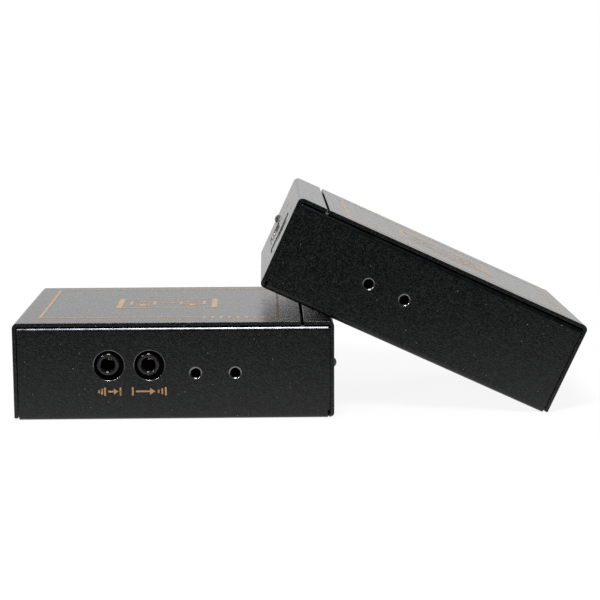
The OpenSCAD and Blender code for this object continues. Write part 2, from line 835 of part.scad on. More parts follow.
module crystal() {
    reach = (crystal_l - crystal_w) / 2;
    x = board_x0 + crystal_shares[0] * (board_x1 - board_x0);
    color(steel) translate([x, board_y(crystal_shares[1]), board_top]) {
        translate([-crystal_l / 2, -crystal_w / 2, 0]) cube([crystal_l, crystal_w, crystal_base]);
        translate([-reach, -crystal_w / 2, 0]) cube([2 * reach, crystal_w, crystal_h]);
        for (side = [-1, 1]) translate([side * reach, 0, 0]) cylinder(h = crystal_h, r = crystal_w / 2);
    }
}

// The sender stands where it is drawn, moved so that the pair's middle is over the origin
module sender() {
    translate(-middle) children();
}

// The receiver is turned round and leans on the sender's upper edge at the socket end
module receiver() {
    translate([lean_x, lean_shift, lean_z] - middle) rotate([0, lean_deg, 0])
        translate([body_l, body_d, 0]) rotate(180) children();
}

sender() base();  // sender_base
sender() walls();  // sender_walls
sender() cover();  // sender_cover
sender() cover_screws();  // sender_cover_screws
sender() circuit_board();  // sender_circuit_board
sender() board_standoffs();  // sender_board_standoffs
sender() board_screws();  // sender_board_screws
sender() picture_socket_shell();  // sender_picture_socket_shell
sender() picture_socket_insert();  // sender_picture_socket_insert
sender() picture_socket_contacts();  // sender_picture_socket_contacts
sender() power_socket_body();  // sender_power_socket_body
sender() power_socket_pin();  // sender_power_socket_pin
sender() power_socket_leaf();  // sender_power_socket_leaf
sender() network_socket_shield();  // sender_network_socket_shield
sender() network_socket_body();  // sender_network_socket_body
sender() network_socket_contacts();  // sender_network_socket_contacts
sender() ir_in() jack_body();  // sender_ir_in_jack_body
sender() ir_in() jack_leaf();  // sender_ir_in_jack_leaf
sender() ir_in() jack_terminals();  // sender_ir_in_jack_terminals
sender() ir_out() jack_body();  // sender_ir_out_jack_body
sender() ir_out() jack_leaf();  // sender_ir_out_jack_leaf
sender() ir_out() jack_terminals();  // sender_ir_out_jack_terminals
sender() status_lamp();  // sender_status_lamp
sender() lamp_leads();  // sender_lamp_leads
sender() main_chip();  // sender_main_chip
sender() heat_sink();  // sender_heat_sink
sender() line_transformer();  // sender_line_transformer
sender() capacitors();  // sender_capacitors
sender() power_choke();  // sender_power_choke
sender() crystal();  // sender_crystal
receiver() base();  // receiver_base
receiver() walls();  // receiver_walls
receiver() cover();  // receiver_cover
receiver() cover_screws();  // receiver_cover_screws
receiver() circuit_board();  // receiver_circuit_board
receiver() board_standoffs();  // receiver_board_standoffs
receiver() board_screws();  // receiver_board_screws
receiver() picture_socket_shell();  // receiver_picture_socket_shell
receiver() picture_socket_insert();  // receiver_picture_socket_insert
receiver() picture_socket_contacts();  // receiver_picture_socket_contacts
receiver() power_socket_body();  // receiver_power_socket_body
receiver() power_socket_pin();  // receiver_power_socket_pin
receiver() power_socket_leaf();  // receiver_power_socket_leaf
receiver() network_socket_shield();  // receiver_network_socket_shield
receiver() network_socket_body();  // receiver_network_socket_body
receiver() network_socket_contacts();  // receiver_network_socket_contacts
receiver() ir_in() jack_body();  // receiver_ir_in_jack_body
receiver() ir_in() jack_leaf();  // receiver_ir_in_jack_leaf
receiver() ir_in() jack_terminals();  // receiver_ir_in_jack_terminals
receiver() ir_out() jack_body();  // receiver_ir_out_jack_body
receiver() ir_out() jack_leaf();  // receiver_ir_out_jack_leaf
receiver() ir_out() jack_terminals();  // receiver_ir_out_jack_terminals
receiver() status_lamp();  // receiver_status_lamp
receiver() lamp_leads();  // receiver_lamp_leads
receiver() main_chip();  // receiver_main_chip
receiver() heat_sink();  // receiver_heat_sink
receiver() line_transformer();  // receiver_line_transformer
receiver() capacitors();  // receiver_capacitors
receiver() power_choke();  // receiver_power_choke
receiver() crystal();  // receiver_crystal
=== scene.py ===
import json
import math

import bpy
from mathutils import Matrix, Vector

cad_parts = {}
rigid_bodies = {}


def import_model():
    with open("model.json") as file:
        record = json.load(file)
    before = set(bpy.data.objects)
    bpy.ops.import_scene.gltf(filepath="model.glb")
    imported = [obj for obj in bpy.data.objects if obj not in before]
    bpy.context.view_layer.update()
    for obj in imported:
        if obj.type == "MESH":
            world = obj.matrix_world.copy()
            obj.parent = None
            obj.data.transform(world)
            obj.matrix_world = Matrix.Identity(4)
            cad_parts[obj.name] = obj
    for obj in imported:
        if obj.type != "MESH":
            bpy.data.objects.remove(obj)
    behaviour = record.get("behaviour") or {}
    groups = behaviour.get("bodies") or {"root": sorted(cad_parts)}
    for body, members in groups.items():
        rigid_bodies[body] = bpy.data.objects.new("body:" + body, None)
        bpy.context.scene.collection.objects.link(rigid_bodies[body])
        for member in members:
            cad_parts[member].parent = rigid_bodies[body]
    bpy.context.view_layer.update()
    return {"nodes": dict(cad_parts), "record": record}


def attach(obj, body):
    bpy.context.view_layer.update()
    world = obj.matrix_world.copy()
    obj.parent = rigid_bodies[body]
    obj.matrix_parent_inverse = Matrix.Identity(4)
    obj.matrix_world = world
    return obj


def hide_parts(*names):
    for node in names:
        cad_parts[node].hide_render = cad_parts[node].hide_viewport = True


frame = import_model()
mm = 0.001

case = {
    "length": 85.0,
    "depth": 62.0,
    "height": 26.2,
    "bendRadius": 1.4,
    "footGap": 0.6,
    "endGap": 1.2,  # the cover's end panel and the air behind it
    "lean": 24.7,
    "leanShift": 4.0,
    "restGap": 0.2,
}


# Each box has its own frame: X from the network end, Y from the jack side, Z up from the underside
def standBoxes():
    s, c = math.sin(math.radians(case["lean"])), math.cos(math.radians(case["lean"]))
    length, height, bend = case["length"], case["height"], case["bendRadius"]
    rise = max(length * s - case["footGap"] * c, (length - case["endGap"]) * s)
    along = length - bend + (c * (height - bend - rise) + bend + case["restGap"]) / s
    reach = along + (length - bend) * c + (height - bend) * s + bend
    middle = Vector((reach / 2, (case["depth"] + case["leanShift"]) / 2, 0)) * mm
    corner = Vector((along, case["leanShift"], rise)) * mm
    turned = Matrix.Translation(Vector((length, case["depth"], 0)) * mm) @ Matrix.Rotation(math.pi, 4, "Z")
    leaning = Matrix.Translation(corner - middle) @ Matrix.Rotation(math.radians(case["lean"]), 4, "Y")
    return {"sender": Matrix.Translation(-middle), "receiver": leaning @ turned}


boxPlaces = standBoxes()

cameraView = {
    "place": (-9.457, -468.542, 101.533),
    "right": (0.9997659, -0.0212424, -0.0041114),
    "down": (-0.0074107, -0.1576614, -0.9874654),
    "forward": (0.0203279, 0.9872647, -0.1577819),
    "focalPixels": 1674.56,
    "framePixels": 600,
    "sensor": 36,
    "nearest": 0.01,
    "farthest": 20,
}


def addCamera():
    right, down, forward = (Vector(cameraView[key]) for key in ("right", "down", "forward"))
    turn = Matrix((right, -down, -forward)).transposed()
    bpy.ops.object.camera_add(location=Vector(cameraView["place"]) * mm, rotation=turn.to_euler())
    camera = bpy.context.object
    camera.name = "photo_camera"
    camera.data.sensor_width = cameraView["sensor"]
    camera.data.lens = cameraView["focalPixels"] * cameraView["sensor"] / cameraView["framePixels"]
    camera.data.clip_start = cameraView["nearest"]
    camera.data.clip_end = cameraView["farthest"]
    bpy.context.scene.camera = camera


addCamera()
print("camera stands")


# A link in a shader: arithmetic on it adds Math nodes
class Wire:
    def __init__(self, shading, socket):
        self.shading = shading
        self.socket = socket

    def reckon(self, operation, other, flipped=False):
        first, second = (other, self) if flipped else (self, other)
        return self.shading.node("ShaderNodeMath", {"operation": operation}, {0: first, 1: second})

    def __add__(self, other):
        return self.reckon("ADD", other)

    def __radd__(self, other):
        return self.reckon("ADD", other, True)

    def __sub__(self, other):
        return self.reckon("SUBTRACT", other)

    def __rsub__(self, other):
        return self.reckon("SUBTRACT", other, True)

    def __mul__(self, other):
        return self.reckon("MULTIPLY", other)

    def __rmul__(self, other):
        return self.reckon("MULTIPLY", other, True)

    def __lt__(self, other):
        return self.reckon("LESS_THAN", other)

    def __gt__(self, other):
        return self.reckon("GREATER_THAN", other)


class Shading:
    def __init__(self, tree):
        self.tree = tree

    def node(self, kind, settings=None, sockets=None, out=0):
        made = self.tree.nodes.new(kind)
        for key, value in (settings or {}).items():
            setattr(made, key, value)
        for key, value in (sockets or {}).items():
            if isinstance(value, Wire):
                self.tree.links.new(value.socket, made.inputs[key])
            else:
                made.inputs[key].default_value = value
        return Wire(self, made.outputs[out])

    # Where the point lies on its piece
    def place(self):
        return self.node("ShaderNodeTexCoord", out=3)

    # One of Light Path's yes or no answers about the ray
    def ray(self, kind):
        return self.node("ShaderNodeLightPath", out={"camera": 0, "glossy": 3, "transmission": 6}[kind])

    def cells(self, size, feature="F1", out=0):
        sockets = {"Vector": self.place(), "Scale": 1 / (size * mm)}
        return self.node("ShaderNodeTexVoronoi", {"feature": feature}, sockets, out)

    def red(self, colour):
        return self.node("ShaderNodeSeparateColor", {}, {0: colour})

    def noise(self, grain, detail=2.0, roughness=0.5, where=None):
        sockets = {"Vector": where or self.place(), "Scale": 1 / (grain * mm)}
        return self.node("ShaderNodeTexNoise", {}, sockets | {"Detail": detail, "Roughness": roughness})

    def spread(self, wire, low, high, toLow=0.0, toHigh=1.0):
        return self.node("ShaderNodeMapRange", {"clamp": True}, {
            0: wire, 1: low, 2: high, 3: toLow, 4: toHigh})

    def blend(self, factor, first, second):
        return self.node("ShaderNodeMix", {"data_type": "RGBA"}, {0: factor, 6: first, 7: second}, out=2)

    def bump(self, height, depth, under=None):
        sockets = {"Strength": 1.0, "Distance": depth * mm, "Height": height}
        if under:
            sockets["Normal"] = under
        return self.node("ShaderNodeBump", {}, sockets)


def newFinish(name):
    finish = bpy.data.materials.new(name)
    finish.use_nodes = True
    finish.node_tree.nodes.clear()
    return finish, Shading(finish.node_tree)


def closeFinish(shading, sockets):
    surface = shading.node("ShaderNodeBsdfPrincipled", {}, sockets)
    output = shading.tree.nodes.new("ShaderNodeOutputMaterial")
    shading.tree.links.new(surface.socket, output.inputs["Surface"])


def rgb(red, green, blue):
    return (red, green, blue, 1.0)


coat = {
    "dark": rgb(0.0009, 0.0011, 0.001),
    "light": rgb(0.0095, 0.0112, 0.0105),
    # pale specks: partly dust, partly painted glints
    "dustAndGlint": rgb(0.3, 0.33, 0.3),
    "grain": 0.33,
    "wave": (2.2, 1.0),  # size and detail
    "grainDepth": 0.035,
    "waveDepth": 0.012,
    "speckCell": 1.55,
    "speckRadius": 0.085,
    "speckChoice": (0.5, 1.0, 0.03, 1.0),  # half of the cells get a faint speck, the rest up to a full one
    "roughness": (0.2, 0.3),
}


# Powder melts into small domes, each a little lighter or darker than the next
def coatGrain(s):
    return 1 - s.cells(coat["grain"], "SMOOTH_F1"), s.red(s.cells(coat["grain"], out=1))


# Black powder coat: fine grain, a slight wave, and scattered pale specks that are partly dust and partly
# painted glints
def powderCoat():
    finish, s = newFinish("black_powder_coat")
    domes, tint = coatGrain(s)
    wave = s.noise(*coat["wave"])
    near = s.cells(coat["speckCell"]) < coat["speckRadius"] / coat["speckCell"]
    dustAndGlint = near * s.spread(s.red(s.cells(coat["speckCell"], out=1)), *coat["speckChoice"])
    body = s.blend(tint * tint, coat["dark"], coat["light"])
    closeFinish(s, {"Base Color": s.blend(dustAndGlint, body, coat["dustAndGlint"]),
                    "Roughness": s.spread(tint, 0, 1, *coat["roughness"]),
                    "Normal": s.bump(domes, coat["grainDepth"], s.bump(wave, coat["waveDepth"]))})
    return finish


ink = {
    "gold": rgb(0.37, 0.2, 0.072),
    "thin": rgb(0.25, 0.135, 0.05),
    "bare": rgb(0.03, 0.024, 0.016),
    "patch": 1.3,
    "thinPatch": (0.3, 0.75),
    "wornGrain": (0.86, 0.96),
    "wornPatch": (0.42, 0.62, 0.2, 0.8),
    "roughness": (0.34, 0.46),
    "grainShare": 0.5,  # of the coat's own grain depth
    "height": 0.03,
    "root": 0.01,  # how far it starts under the paint
}


# Gold ink, thinner where the grain stands up under it
def goldInk():
    finish, s = newFinish("gold_ink")
    domes, tint = coatGrain(s)
    patches = s.noise(ink["patch"])
    worn = s.spread(tint, *ink["wornGrain"]) * s.spread(patches, *ink["wornPatch"])
    colour = s.blend(s.spread(patches, *ink["thinPatch"]), ink["gold"], ink["thin"])
    closeFinish(s, {"Base Color": s.blend(worn, colour, ink["bare"]),
                    "Roughness": s.spread(tint, 0, 1, *ink["roughness"]),
                    "Normal": s.bump(domes, ink["grainShare"] * coat["grainDepth"])})
    return finish


moulding = {
    "dark": (0.004, 0.004, 0.0045),
    "light": (0.01, 0.01, 0.011),
    "grain": 0.25,
    "flow": (4.0, 1.0),  # size and detail
    "flowRange": (0.3, 0.7),
    "glossier": 0.04,
    "duller": 0.05,
}


# Moulded black plastic, a little lighter and duller along the way it flowed into the mould
def blackMoulding(name, roughness, depth, level=0.5, tone=1.0):
    finish, s = newFinish(name)
    flow = s.spread(s.noise(*moulding["flow"]), *moulding["flowRange"])
    dark, light = (rgb(*(tone * part for part in moulding[key])) for key in ("dark", "light"))
    low, high = roughness - moulding["glossier"], roughness + moulding["duller"]
    closeFinish(s, {"Base Color": s.blend(flow, dark, light), "Roughness": s.spread(flow, 0, 1, low, high),
                    "Specular IOR Level": level, "Normal": s.bump(s.noise(moulding["grain"]), depth)})
    return finish


metal = {
    "scratch": (0.9, 3.0, 0.6),  # size, detail and roughness
    "scratchRange": (0.3, 0.75),
    "stain": 2.4,
    "stainRange": (0.35, 0.75),
    "drawn": (1, 1, 12),
    "even": (1, 1, 1),
    "depth": 0.002,
}


# Plated or bare metal with light stains, and fine scratches that are drawn out along one way or even
def wornMetal(name, bright, dull, roughness, stretch="drawn", depth=metal["depth"], metallic=1.0):
    finish, s = newFinish(name)
    along = s.node("ShaderNodeMapping", {}, {"Vector": s.place(), "Scale": metal[stretch]})
    lines = s.noise(*metal["scratch"], along)
    stain = s.spread(s.noise(metal["stain"]), *metal["stainRange"])
    closeFinish(s, {"Base Color": s.blend(stain, bright, dull), "Metallic": metallic,
                    "Roughness": s.spread(lines, *metal["scratchRange"], *roughness),
                    "Normal": s.bump(lines, depth)})
    return finish


boardLook = {
    "mask": rgb(0.012, 0.11, 0.045),
    "track": rgb(0.03, 0.2, 0.085),
    "pitch": 2.54,
    "trackShare": 0.06,
    "rowShift": 0.5,
    "area": (9.0, 1.0),  # size and detail
    "areaRange": (0.3, 0.7),
    "tracksAbove": 0.5,
    "trackDepth": 0.03,
    "roughness": (0.3, 0.42),
}


# Green mask over copper tracks that show through as paler lines
def greenBoard():
    finish, s = newFinish("green_board")
    cells = s.node("ShaderNodeTexBrick", {"offset": boardLook["rowShift"]}, {
        "Vector": s.place(), "Scale": 1 / (boardLook["pitch"] * mm), "Mortar Size": boardLook["trackShare"],
        "Color1": rgb(0, 0, 0), "Color2": rgb(0, 0, 0), "Mortar": rgb(1, 1, 1)}, out=1)
    wander = s.noise(*boardLook["area"])
    tracks = cells * (wander > boardLook["tracksAbove"])
    closeFinish(s, {"Base Color": s.blend(tracks, boardLook["mask"], boardLook["track"]),
                    "Roughness": s.spread(wander, *boardLook["areaRange"], *boardLook["roughness"]),
                    "Normal": s.bump(tracks, boardLook["trackDepth"])})
    return finish


lamp = {
    "clear": rgb(0.12, 0.125, 0.13),
    "core": rgb(0.035, 0.036, 0.038),
    "cloud": 0.7,
    "coreRange": (0.35, 0.7),
    "dullRange": (0.3, 0.7),
    "roughness": (0.08, 0.2),
    "through": 0.3,
    "index": 1.5,
    "depth": 0.003,
}


# The status lamp is smoky: light goes a little way in
def smokyLamp():
    finish, s = newFinish("smoky_lamp")
    cloud = s.noise(lamp["cloud"])
    core = s.spread(cloud, *lamp["coreRange"])
    closeFinish(s, {"Base Color": s.blend(core, lamp["clear"], lamp["core"]),
                    "Roughness": s.spread(cloud, *lamp["dullRange"], *lamp["roughness"]),
                    "Transmission Weight": lamp["through"], "IOR": lamp["index"],
                    "Normal": s.bump(cloud, lamp["depth"])})
    return finish


# Named after the record's material slots, but for the ink and the four that cover parts of a piece; of
# these, the dull block is painted shade, and the rim and the bend are painted sheen
finishes = {
    "case": powderCoat(),
    "ink": goldInk(),
    "plastic": blackMoulding("black_moulding", 0.24, 0.003),
    "chip": blackMoulding("chip_epoxy", 0.5, 0.006),
    "nickel": wornMetal("nickel_plate", rgb(0.72, 0.71, 0.67), rgb(0.5, 0.49, 0.46), (0.2, 0.38)),
    "gold": wornMetal("gold_flash", rgb(0.9, 0.64, 0.26), rgb(0.68, 0.45, 0.18), (0.18, 0.3)),
    "copper": wornMetal("spring_bronze", rgb(0.82, 0.5, 0.38), rgb(0.6, 0.33, 0.22), (0.25, 0.4),
                        metallic=0.5),
    "screws": wornMetal("black_zinc", rgb(0.05, 0.05, 0.052), rgb(0.022, 0.022, 0.024), (0.3, 0.45), "even"),
    "heat_sink": wornMetal("drawn_aluminium", rgb(0.62, 0.62, 0.64), rgb(0.45, 0.45, 0.47), (0.3, 0.45)),
    "can": wornMetal("can_aluminium", rgb(0.66, 0.67, 0.69), rgb(0.5, 0.5, 0.53), (0.22, 0.34)),
    "board": greenBoard(),
    "lamp": smokyLamp(),
    "barrel": blackMoulding("polished_moulding", 0.11, 0.001, 0.75, 0.5),
    # painted shade: a dark, dull moulding for faces that sit in shadowed gaps
    "paintedShade": blackMoulding("painted_shade_moulding", 0.7, 0.008, 0.03, 0.15),
    # painted sheen: grey metal on the hole rims, standing in for their highlights
    "rim": wornMetal("painted_sheen_on_rim", rgb(0.34, 0.345, 0.34), rgb(0.19, 0.193, 0.19), (0.18, 0.28),
                     "even"),
    # painted sheen: a more reflective coat on the bends, brightening their highlight lines
    "bend": wornMetal("painted_sheen_on_bend", rgb(0.09, 0.096, 0.104), rgb(0.04, 0.042, 0.045), (0.2, 0.28),
                      "even", 0.012),
}
print("finishes mixed")


def deselectAll():
    if bpy.context.object and bpy.context.object.mode != "OBJECT":
        bpy.ops.object.mode_set(mode="OBJECT")
    bpy.ops.object.select_all(action="DESELECT")


def makeActive(piece):
    deselectAll()
    piece.select_set(True)
    bpy.context.view_layer.objects.active = piece


def useModifier(piece, kind, **settings):
    makeActive(piece)
    bpy.ops.object.modifier_add(type=kind)
    added = piece.modifiers[-1]
    for key, value in settings.items():
        setattr(added, key, value)
    bpy.ops.object.modifier_apply(modifier=added.name)


def bodyOf(nodeName):
    for body, members in frame["record"]["behaviour"]["bodies"].items():
        if nodeName in members:
            return body


def slotOf(nodeName):
    for entry in frame["record"]["subparts"]:
        if entry["node"] == nodeName:
            return entry["material_slot"]


# Angles in degrees, distances in millimetres
edgeLook = {
    "segments": 2,
    "sharpFrom": 32,
    "smoothTo": 50,
    "flat": 0.4,
    "merge": 0.001,
    "mergeFused": 0.002,
    "rimSlack": 0.08,
}


# Joins loose triangles into the flat faces they make up
def mergeFaces(piece, reach):
    makeActive(piece)
    bpy.ops.object.mode_set(mode="EDIT")
    bpy.ops.mesh.select_all(action="SELECT")
    bpy.ops.mesh.remove_doubles(threshold=reach * mm)
    bpy.ops.mesh.dissolve_limited(angle_limit=math.radians(edgeLook["flat"]))
    bpy.ops.object.mode_set(mode="OBJECT")


# A merged copy of a CAD piece, free of its body
def copyNode(nodeName):
    makeActive(frame["nodes"][nodeName])
    bpy.ops.object.duplicate()
    piece = bpy.context.object
    bpy.ops.object.parent_clear(type="CLEAR_KEEP_TRANSFORM")
    for key in list(piece.keys()):
        del piece[key]
    mergeFaces(piece, edgeLook["merge"])
    return piece


# Rounds the edges as the real piece's are, and puts it in the place of its CAD nodes
def roundEdges(piece, nodeNames, edge):
    slot = slotOf(nodeNames[0])
    useModifier(piece, "BEVEL", width=edge * mm, segments=edgeLook["segments"], limit_method="ANGLE",
                angle_limit=math.radians(edgeLook["sharpFrom"]), use_clamp_overlap=False)
    bpy.ops.object.shade_smooth_by_angle(angle=math.radians(edgeLook["smoothTo"]))
    useModifier(piece, "WEIGHTED_NORMAL", keep_sharp=True)
    piece.name = nodeNames[0] + "_rounded"
    piece.data.materials.clear()
    piece.data.materials.append(finishes[slot])
    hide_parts(*nodeNames)
    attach(piece, bodyOf(nodeNames[0]))


# Selects the edges whose two ends are chosen by their place in the piece
def pickEdges(piece, choose):
    for vertex in piece.data.vertices:
        vertex.select = choose(vertex.co)
    for edge in piece.data.edges:
        edge.select = all(piece.data.vertices[i].select for i in edge.vertices)
    for face in piece.data.polygons:
        face.select = False


# A round rim in a side is given by its middle and radius in the box's own frame
def softenRim(piece, box, middle, radius, offset, segments):
    makeActive(piece)
    inward = boxPlaces[box].inverted()
    slack = edgeLook["rimSlack"]

    def onRim(place):
        local = (inward @ place) / mm - Vector(middle)
        return abs(local.y) < slack and abs(math.hypot(local.x, local.z) - radius) < slack

    pickEdges(piece, onRim)
    bpy.ops.object.mode_set(mode="EDIT")
    bpy.ops.mesh.select_mode(type="EDGE")
    bpy.ops.mesh.bevel(offset=offset * mm, segments=segments, affect="EDGES")
    bpy.ops.mesh.select_mode(type="VERT")
    bpy.ops.object.mode_set(mode="OBJECT")


# Faces chosen by their middle and normal, in the box's own frame, get a finish of their own
def paintFaces(piece, box, finishName, choose):
    piece.data.materials.append(finishes[finishName])
    inward = boxPlaces[box].inverted()
    turn = inward.to_3x3()
    for face in piece.data.polygons:
        if choose((inward @ face.center) / mm, turn @ face.normal):
            face.material_index = len(piece.data.materials) - 1


jackLook = {
    "axes": (25.03, 35.73),
    "height": 14.9,
    "barrelFace": 0.3,
    "barrelRadius": 3.0,
    "rimRound": 0.42,
    "rimSteps": 4,
    "hole": (0.3, -0.2, 4.0),  # the hole's middle against the jack's axis, and its radius
    "holeRound": 0.2,
    "holeSteps": 3,
    "boreMouth": 2.1,
    "boreRound": 0.12,
    "boreSteps": 3,
    "slack": 0.01,
}
tappedLook = {"axes": (48.23, 58.73), "height": 12.5, "bore": 1.25, "mouth": 0.5}
rimLook = {"above": 0.05, "deep": 0.9, "within": 0.02, "wide": 0.97}  # deep and wide: shares of the round


# The rims of the round holes, on both long sides, get a painted sheen: a grey metallic finish that brightens
# their highlights
def paintSheenOnRims(piece, box):
    across, up, radius = jackLook["hole"]
    rims = [(axis + across, jackLook["height"] + up, radius, jackLook["holeRound"])
            for axis in jackLook["axes"]]
    rims += [(axis, tappedLook["height"], tappedLook["bore"], tappedLook["mouth"])
             for axis in tappedLook["axes"]]

    def onRim(place, facing):
        deep = min(place.y, case["depth"] - place.y)
        for x, z, inner, width in rims:
            reach = math.hypot(place.x - x, place.z - z)
            onRound = -rimLook["above"] < deep < rimLook["deep"] * width
            if onRound and -rimLook["within"] < reach - inner < rimLook["wide"] * width:
                return True
        return False

    paintFaces(piece, box, "rim", onRim)


bendLook = {
    "top": 25.15,
    "slopes": (0.02, 0.995),  # how far up its faces look, from upright to flat
    "straight": 0.1,
    "seam": 77.0,
    "seamWidth": 0.2,
    "seamSlope": 0.1,
    "ledges": (23.5, 25.6),
    "ledgeSlope": 0.99,
}


# The long sides' upper bends and the strip's edge at the seam get a painted sheen: a more reflective finish
# that brightens their highlight lines
def paintSheenOnBends(piece, box):
    top, bend, slope = bendLook["top"], case["bendRadius"], bendLook["seamSlope"]
    upright, flat = bendLook["slopes"]

    def onBend(place, facing):
        inBend = top - bend < place.z < top and min(place.y, case["depth"] - place.y) < bend
        atSeam = abs(place.x - bendLook["seam"]) < bendLook["seamWidth"] and place.z > top
        return (inBend and abs(facing.x) < bendLook["straight"] and upright < facing.z < flat
                or atSeam and facing.x < -slope and facing.z > slope)

    paintFaces(piece, box, "bend", onBend)


# Ledges just under the top are seen only through the seam, where little light falls, so they get painted
# shade: a dark, dull finish
def paintShadeOnLedges(piece, box):
    lowest, highest = bendLook["ledges"]
    paintFaces(piece, box, "paintedShade",
               lambda place, facing: facing.z > bendLook["ledgeSlope"] and lowest < place.z < highest)


# The barrel has a rounded rim and is polished, and the block behind it gets painted shade: a dark, dull
# finish for the deep ring gap around the barrel
def finishJack(box, name, axis):
    nodeName = f"{box}_{name}_jack_body"
    piece = copyNode(nodeName)
    face = (axis, jackLook["barrelFace"], jackLook["height"])
    softenRim(piece, box, face, jackLook["barrelRadius"], jackLook["rimRound"], jackLook["rimSteps"])
    softenRim(piece, box, face, jackLook["boreMouth"], jackLook["boreRound"], jackLook["boreSteps"])
    roundEdges(piece, [nodeName], rounding["jack"])
    piece.data.materials[0] = finishes["barrel"]
    piece.data.materials.append(finishes["paintedShade"])
    inward = boxPlaces[box].inverted()
    places = [(inward @ vertex.co) / mm for vertex in piece.data.vertices]
    reaches = [math.hypot(place.x - axis, place.z - jackLook["height"]) for place in places]
    for polygon in piece.data.polygons:
        outer = max(reaches[corner] for corner in polygon.vertices)
        polygon.material_index = 0 if outer < jackLook["barrelRadius"] + jackLook["slack"] else 1


# The case is one folded sheet, so its base and walls are fused again
def fuseCase(box, edge):
    base = copyNode(f"{box}_base")
    walls = copyNode(f"{box}_walls")
    useModifier(walls, "BOOLEAN", operation="UNION", solver="EXACT", object=base)
    makeActive(base)
    bpy.ops.object.delete()
    mergeFaces(walls, edgeLook["mergeFused"])
    across, up, radius = jackLook["hole"]
    for axis in jackLook["axes"]:
        middle = (axis + across, 0, jackLook["height"] + up)
        softenRim(walls, box, middle, radius, jackLook["holeRound"], jackLook["holeSteps"])
    roundEdges(walls, [f"{box}_walls", f"{box}_base"], edge)
    paintSheenOnRims(walls, box)
    paintSheenOnBends(walls, box)
    paintShadeOnLedges(walls, box)


# How far each piece's edges are rounded, in millimetres
rounding = {
    "case": 0.14,
    "cover": 0.14,
    "cover_screws": 0.08,
    "picture_socket_shell": 0.06,
    "picture_socket_insert": 0.1,
    "power_socket_body": 0.15,
    "power_socket_pin": 0.04,
    "power_socket_leaf": 0.05,
    "network_socket_shield": 0.06,
    "network_socket_body": 0.12,
    "network_socket_contacts": 0.05,
    "jack": 0.1,
    "ir_in_jack_leaf": 0.05,
    "ir_out_jack_leaf": 0.05,
}

for box in boxPlaces:
    fuseCase(box, rounding["case"])
    for name, axis in zip(("ir_in", "ir_out"), jackLook["axes"]):
        finishJack(box, name, axis)
    for part, edge in rounding.items():
        if part not in ("case", "jack"):
            piece = copyNode(f"{box}_{part}")
            roundEdges(piece, [f"{box}_{part}"], edge)
            if part == "cover":
                # the cover's ledges under the seam get painted shade too
                paintShadeOnLedges(piece, box)
for nodeName, node in frame["nodes"].items():  # the pieces that keep their CAD mesh
    finish = finishes[slotOf(nodeName)]
    for index in range(len(node.data.materials)):
        node.data.materials[index] = finish
print("edges rounded")


# A flat patch of ink is shaped in edit mode from one face, then given its thickness.
# Places and sizes are in millimetres.
def raisePatch(u, v):
    bpy.ops.mesh.select_all(action="SELECT")
    bpy.ops.transform.translate(value=(u * mm, v * mm, -ink["root"] * mm))
    bpy.ops.mesh.extrude_region_move(
        TRANSFORM_OT_translate={"value": (0, 0, (ink["height"] + ink["root"]) * mm)})
    bpy.ops.mesh.select_all(action="SELECT")
    bpy.ops.mesh.normals_make_consistent(inside=False)
    bpy.ops.object.mode_set(mode="OBJECT")
    return bpy.context.object


def addBar(u0, v0, u1, v1):
    deselectAll()
    bpy.ops.mesh.primitive_plane_add(size=mm, enter_editmode=True)
    bpy.ops.transform.resize(value=(u1 - u0, v1 - v0, 1), center_override=(0, 0, 0))
    return raisePatch((u0 + u1) / 2, (v0 + v1) / 2)


# Stem, foot and head are shares of the line's width, the screen's width and the head's length
signs = {"stem": 1.6, "footBottom": 2.6, "footReach": 0.25, "headTall": 1.3, "dotCorners": 24}


def addDot(u, v, radius):
    deselectAll()
    bpy.ops.mesh.primitive_circle_add(vertices=signs["dotCorners"], radius=radius * mm, fill_type="NGON",
                                      enter_editmode=True)
    return raisePatch(u, v)


# An arrow head that points along +U, from a triangle that is 1.5 high and root 3 wide
def addHead(u, v, deep, tall):
    deselectAll()
    bpy.ops.mesh.primitive_circle_add(vertices=3, radius=mm, fill_type="NGON", enter_editmode=True)
    bpy.ops.transform.rotate(value=math.pi / 2, orient_axis="Z", center_override=(0, 0, 0))
    bpy.ops.transform.resize(value=(deep / 1.5, tall / math.sqrt(3), 1), center_override=(0, 0, 0))
    patch = bpy.context.object
    patch.update_from_editmode()
    ends = [vertex.co.x for vertex in patch.data.vertices]
    if max(ends) + min(ends) < 0:
        bpy.ops.transform.rotate(value=math.pi, orient_axis="Z", center_override=(0, 0, 0))
    return raisePatch(u + deep / 3, v)


# A chevron: a bar whose middle is pushed along +U
def addChevron(u, v, wide, tall, push):
    deselectAll()
    bpy.ops.mesh.primitive_grid_add(x_subdivisions=1, y_subdivisions=2, size=mm)
    pickEdges(bpy.context.object, lambda place: abs(place.y) < mm / 4)
    bpy.ops.object.mode_set(mode="EDIT")
    bpy.ops.transform.translate(value=(push / wide * mm, 0, 0))
    bpy.ops.mesh.select_all(action="SELECT")
    bpy.ops.transform.resize(value=(wide, tall, 1), center_override=(0, 0, 0))
    return raisePatch(u + wide / 2, v)


def addFrame(u0, v0, u1, v1, upright, flat):
    left, right = u0 + upright, u1 - upright
    return [addBar(u0, v0, left, v1), addBar(right, v0, u1, v1),
            addBar(left, v0, right, v0 + flat), addBar(left, v1 - flat, right, v1)]


# A screen on its foot
def addScreen(u, v, wide, tall, line):
    middle, reach = u + wide / 2, signs["footReach"] * wide
    footTop, footBottom = v - signs["stem"] * line, v - signs["footBottom"] * line
    return addFrame(u, v, u + wide, v + tall, line, line) + [
        addBar(middle - line, footTop, middle + line, v),
        addBar(middle - reach, footBottom, middle + reach, footTop)]


